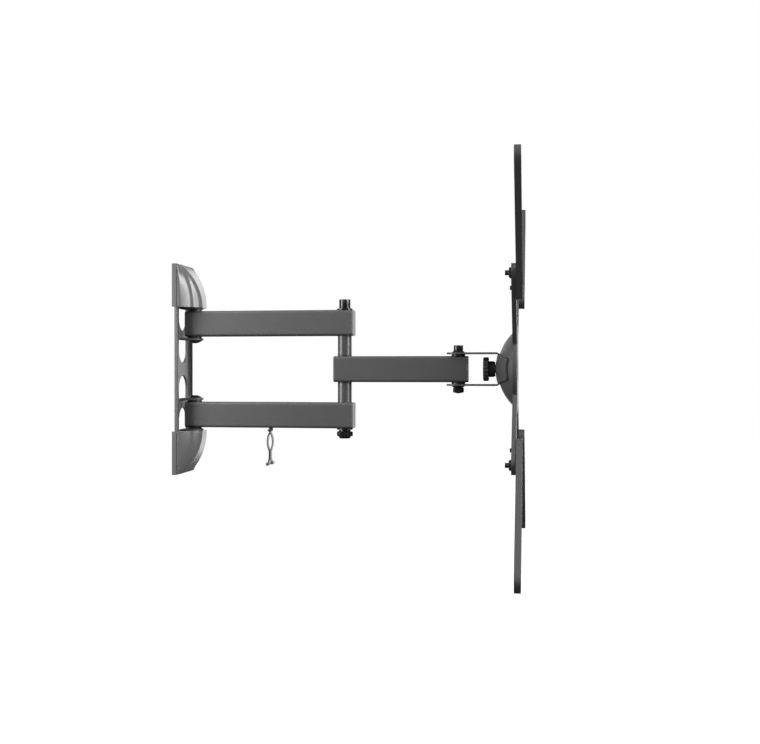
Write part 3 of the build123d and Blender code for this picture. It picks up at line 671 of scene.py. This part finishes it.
BACK_SHARES = (0.66, 0.33, 0.0)      # rows that close the end down to the wall


def smooth_curve(knots, t):
    """A smooth curve through knots, which are pairs in rising order."""
    last = len(knots) - 1
    slopes = []
    for index in range(last + 1):
        before, after = knots[max(0, index - 1)], knots[min(last, index + 1)]
        slopes.append((after[1] - before[1]) / (after[0] - before[0]))
    index = max(i for i in range(last) if knots[i][0] <= t or i == 0)
    (x0, y0), (x1, y1) = knots[index], knots[index + 1]
    width = x1 - x0
    u = (t - x0) / width
    return (y0 * (1 + 2 * u) * (1 - u) ** 2 + slopes[index] * width * u * (1 - u) ** 2
            + y1 * u * u * (3 - 2 * u) + slopes[index + 1] * width * u * u * (u - 1))


def front_of(z):
    """The front's X at a height."""
    arc_x, arc_z, arc_r = FRONT_ARC
    return arc_x + math.sqrt(arc_r ** 2 - (z - arc_z) ** 2)


def strip_half_width(z, low, high):
    narrow, widening, power = STRIP_HALF_W
    return narrow + widening * max(0.0, (z - low) / (high - low)) ** power


def cover_outline(z, low, high, half_w):
    """Half of the cover's outside at one height, from the wall to the middle of the front."""
    front = front_of(z)
    strip = strip_half_width(z, low, high)
    grow = min(1.0, (front - RIM_DEPTH) / FULL_DEPTH)
    groove_w, groove_d = (size * grow for size in GROOVE)
    lip_w = half_w - RIM_LIP
    points = [
        (0.0, half_w), (RIM_DEPTH * 0.5, half_w), (RIM_DEPTH - RIM_LIP, half_w),
        (RIM_DEPTH - RIM_LIP * 0.3, half_w - RIM_LIP * 0.3), (RIM_DEPTH, lip_w),
        (RIM_DEPTH + groove_w * 0.2, lip_w - groove_d * 0.8),
        (RIM_DEPTH + groove_w * 0.5, lip_w - groove_d)]
    edge_r = EDGE_R * grow
    start = Vector((RIM_DEPTH + groove_w, lip_w - 0.35 * MM * grow))
    end = Vector((front - edge_r * 0.45, strip + edge_r * 0.55))
    side = end - start
    out = Vector((-side.y, side.x)).normalized()
    swell = side.length / FULL_SIDE * grow
    for step in range(SIDE_STEPS + 1):
        t = step / SIDE_STEPS
        points.append(tuple(start + side * t + out * (smooth_curve(BULGE, t) * MM * swell)))
    tip = Vector((front, strip - edge_r * 0.6))
    bend = Vector((front - edge_r * 0.05, strip + edge_r * 0.1))
    for step in range(1, EDGE_STEPS + 1):
        t = step / EDGE_STEPS
        points.append(tuple(end * (1 - t) ** 2 + bend * 2 * t * (1 - t) + tip * t * t))
    for step in range(1, STRIP_STEPS + 1):
        points.append((front, tip.y * (1 - step / STRIP_STEPS)))
    return points


def cover_lining(z, low, high, half_w, count):
    """Half of the cover's inside at one height, with as many points as its outside."""
    least_depth, least_half_w = LEAST_LINING
    front = max(front_of(z) - COVER_WALL, least_depth)
    strip = max(strip_half_width(z, low, high) - COVER_WALL / 2, least_half_w)
    rim = half_w - COVER_WALL
    corner = (min(front, RIM_DEPTH), rim)
    path = [Vector(point) for point in ((0.0, rim), corner, (front, strip), (front, 0.0))]
    shares = (RIM_POINTS, SIDE_STEPS, count - 1 - RIM_POINTS - SIDE_STEPS)
    points = []
    for a, b, share in zip(path, path[1:], shares):
        points += [tuple(a.lerp(b, step / share)) for step in range(share)]
    points.append(tuple(path[-1]))
    return points


def whole(half):
    """Both halves of an outline, from +Y round the front to -Y."""
    return half + [(x, -y) for x, y in reversed(half[:-1])]


def drawn_in(y, inset):
    """A sideways place moved towards the middle, but not past it."""
    return y - math.copysign(inset, y) if abs(y) > inset else y


def cover(name, node, up):
    """One cover as a closed shell. up is 1 for the upper cover and -1 for the lower one."""
    low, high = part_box(node)
    half_w = high.y
    near, far = sorted((abs(low.z), abs(high.z)))
    shoulder = far - END_R
    outer, inner = [], []
    for step in range(COVER_ROWS + 1):
        z = near + (shoulder - near) * step / COVER_ROWS
        half = cover_outline(z, near, far, half_w)
        outer.append([(x, y, z) for x, y in whole(half)])
        lining_z = min(z, far - COVER_WALL)
        lining = cover_lining(lining_z, near, far, half_w, len(half))
        inner.append([(x, y, lining_z) for x, y in whole(lining)])
    end_outline = whole(cover_outline(far - END_R * 0.5, near, far, half_w))
    for turn in quarter_turn(END_STEPS, first=1):
        z = shoulder + END_R * math.sin(turn)
        inset = END_R * (1 - math.cos(turn))
        outer.append([(x * (1 - inset / END_DEPTH), drawn_in(y, inset), z) for x, y in end_outline])
        inner.append(inner[-1])
    for share in BACK_SHARES:
        outer.append([(x * share, y, z) for x, y, z in outer[-1]])
        inner.append([(x * share, y, z) for x, y, z in inner[-1]])
    row_count, columns = len(outer), len(outer[0])
    points = [Vector((x, y, z * up)) for row in outer + inner for x, y, z in row]
    shift = row_count * columns
    faces = grid_faces(row_count, columns) + grid_faces(row_count, columns, start=shift)
    rim = list(range(columns))
    rim += [row * columns + columns - 1 for row in range(1, row_count)]
    rim += [(row_count - 1) * columns + column for column in range(columns - 2, -1, -1)]
    rim += [row * columns for row in range(row_count - 2, 0, -1)]
    for index, corner in enumerate(rim):
        beside = rim[(index + 1) % len(rim)]
        faces.append((corner, beside, beside + shift, corner + shift))
    piece(name, points, faces, node)


# --- cable clip -------------------------------------------------------------------------------
CLIP_T = 1.25 * MM
CLIP_HALF_W = 3.9 * MM
CLIP_AROUND = 20                     # points round the strip
CLIP_STEPS = 6                       # points between two knots of its line
BEAD_R = 1.95 * MM
BEAD_SIDES = 40
# A bead's end, as insets from the strip's edge in mm, each with a share of the bead's radius.
BEAD_END = ((0.0, 0.7), (0.2, 0.9), (0.5, 1.0))
PIN_X = 110.0 * MM
PIN_SIDES = 48
# The pin from its button up to its barb, as heights over the lower arm's underside, and its tip,
# as depths under the pin's top. Each goes with a radius, in mm.
PIN_BUTTON = (
    (-4.0, 1.2), (-3.7, 2.0), (-3.0, 2.4), (-0.5, 2.4), (-0.02, 2.2), (-0.02, 1.95),
    (1.6, 1.95), (1.65, 2.65))
PIN_TIP = ((0.3, 2.0), (0.0, 1.6))
LOOP_X = 109.2 * MM
# Centre lines of the strip's two halves: X from the loop's middle, and height, in mm.
CLIP_HALVES = (
    ((-2.6, -71.2), (-1.2, -72.4), (0.3, -74.2), (1.9, -77.6), (2.9, -81.6), (3.1, -85.8), (2.6, -90.0),
     (1.5, -93.8), (0.75, -97.2), (0.66, -101.0), (0.80, -104.6), (1.5, -107.4), (2.4, -109.8)),
    ((1.7, -69.6), (1.2, -72.0), (-0.3, -74.4), (-1.9, -77.8), (-2.9, -81.8), (-3.1, -86.0), (-2.6, -90.2),
     (-1.5, -93.9), (-0.75, -97.2), (-0.66, -101.0), (-0.85, -104.8), (-1.7, -108.2), (-2.8, -111.4)),
)


def spline(points, steps):
    """Points on a smooth curve that passes through all the given ones."""
    ends = [points[0] * 2 - points[1], *points, points[-1] * 2 - points[-2]]
    made = []
    for index in range(1, len(ends) - 2):
        a, b, c, d = ends[index - 1:index + 3]
        for step in range(steps):
            t = step / steps
            made.append(0.5 * ((2 * b) + (c - a) * t + (2 * a - 5 * b + 4 * c - d) * t * t
                               + (3 * b - a - 3 * c + d) * t ** 3))
    made.append(points[-1])
    return made


def squared(wave, power):
    """A sine or cosine with its peaks flattened, which squares a circle off."""
    return math.copysign(abs(wave) ** power, wave)


def ribbon(line, start):
    """A strip with rounded edges along a line in the XZ plane, closed at both ends."""
    points = []
    for index, place in enumerate(line):
        before, after = line[max(0, index - 1)], line[min(len(line) - 1, index + 1)]
        along = (after - before).normalized()
        across = Vector((-along.z, 0, along.x))
        for step in range(CLIP_AROUND):
            angle = math.tau * step / CLIP_AROUND
            thick = squared(math.sin(angle), 0.55) * CLIP_T / 2
            wide = squared(math.cos(angle), 0.30) * CLIP_HALF_W
            points.append(place + across * thick + Vector((0, wide, 0)))
    faces = grid_faces(len(line), CLIP_AROUND, start, wrap=True)
    last = start + (len(line) - 1) * CLIP_AROUND
    faces.append(tuple(range(start, start + CLIP_AROUND)))
    faces.append(tuple(range(last, last + CLIP_AROUND)))
    return points, faces


def clip_loop():
    """The push-in cable clip: a button head and barbed pin, the looped strip and two end beads."""
    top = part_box("cable_clip")[1].z
    arm_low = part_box("lower_arm")[0].z
    points, faces = [], []

    def take(new_points, new_faces):
        points.extend(new_points)
        faces.extend(new_faces)

    bead_rows = [(-CLIP_HALF_W + inset * MM, BEAD_R * share, None) for inset, share in BEAD_END]
    bead_rows += [(-height, radius, form) for height, radius, form in reversed(bead_rows)]
    for half in CLIP_HALVES:
        knots = [Vector((LOOP_X + x * MM, 0, z * MM)) for x, z in half]
        take(*ribbon(spline(knots, CLIP_STEPS), len(points)))
        bead, bead_faces = turned(bead_rows, BEAD_SIDES, start=len(points))
        place = Matrix.Translation(knots[-1]) @ Matrix.Rotation(math.radians(90), 4, "X")
        take(moved(bead, place), bead_faces)
    pin_rows = [(arm_low + height * MM, radius * MM, None) for height, radius in PIN_BUTTON]
    pin_rows += [(top - depth * MM, radius * MM, None) for depth, radius in PIN_TIP]
    pin, pin_faces = turned(pin_rows, PIN_SIDES, start=len(points))
    take(moved(pin, upright(PIN_X)), pin_faces)
    piece("cable_clip_loop", points, faces, "cable_clip")


# --- build ------------------------------------------------------------------------------------
bpy.context.scene.view_settings.view_transform = "Standard"
add_camera()
add_world()
for light_name, light in LIGHTS.items():
    softbox(light_name, *light)
add_floor()
MATERIALS = make_materials()
paint_cad_nodes()

cover("upper_cover_shell", "top_cover", 1)
cover("lower_cover_shell", "bottom_cover", -1)
elbow_fasteners()
head_pivot_fasteners()
for quarter_name in QUARTERS:
    clamp_fasteners(quarter_name)
knob_grip()
clip_loop()
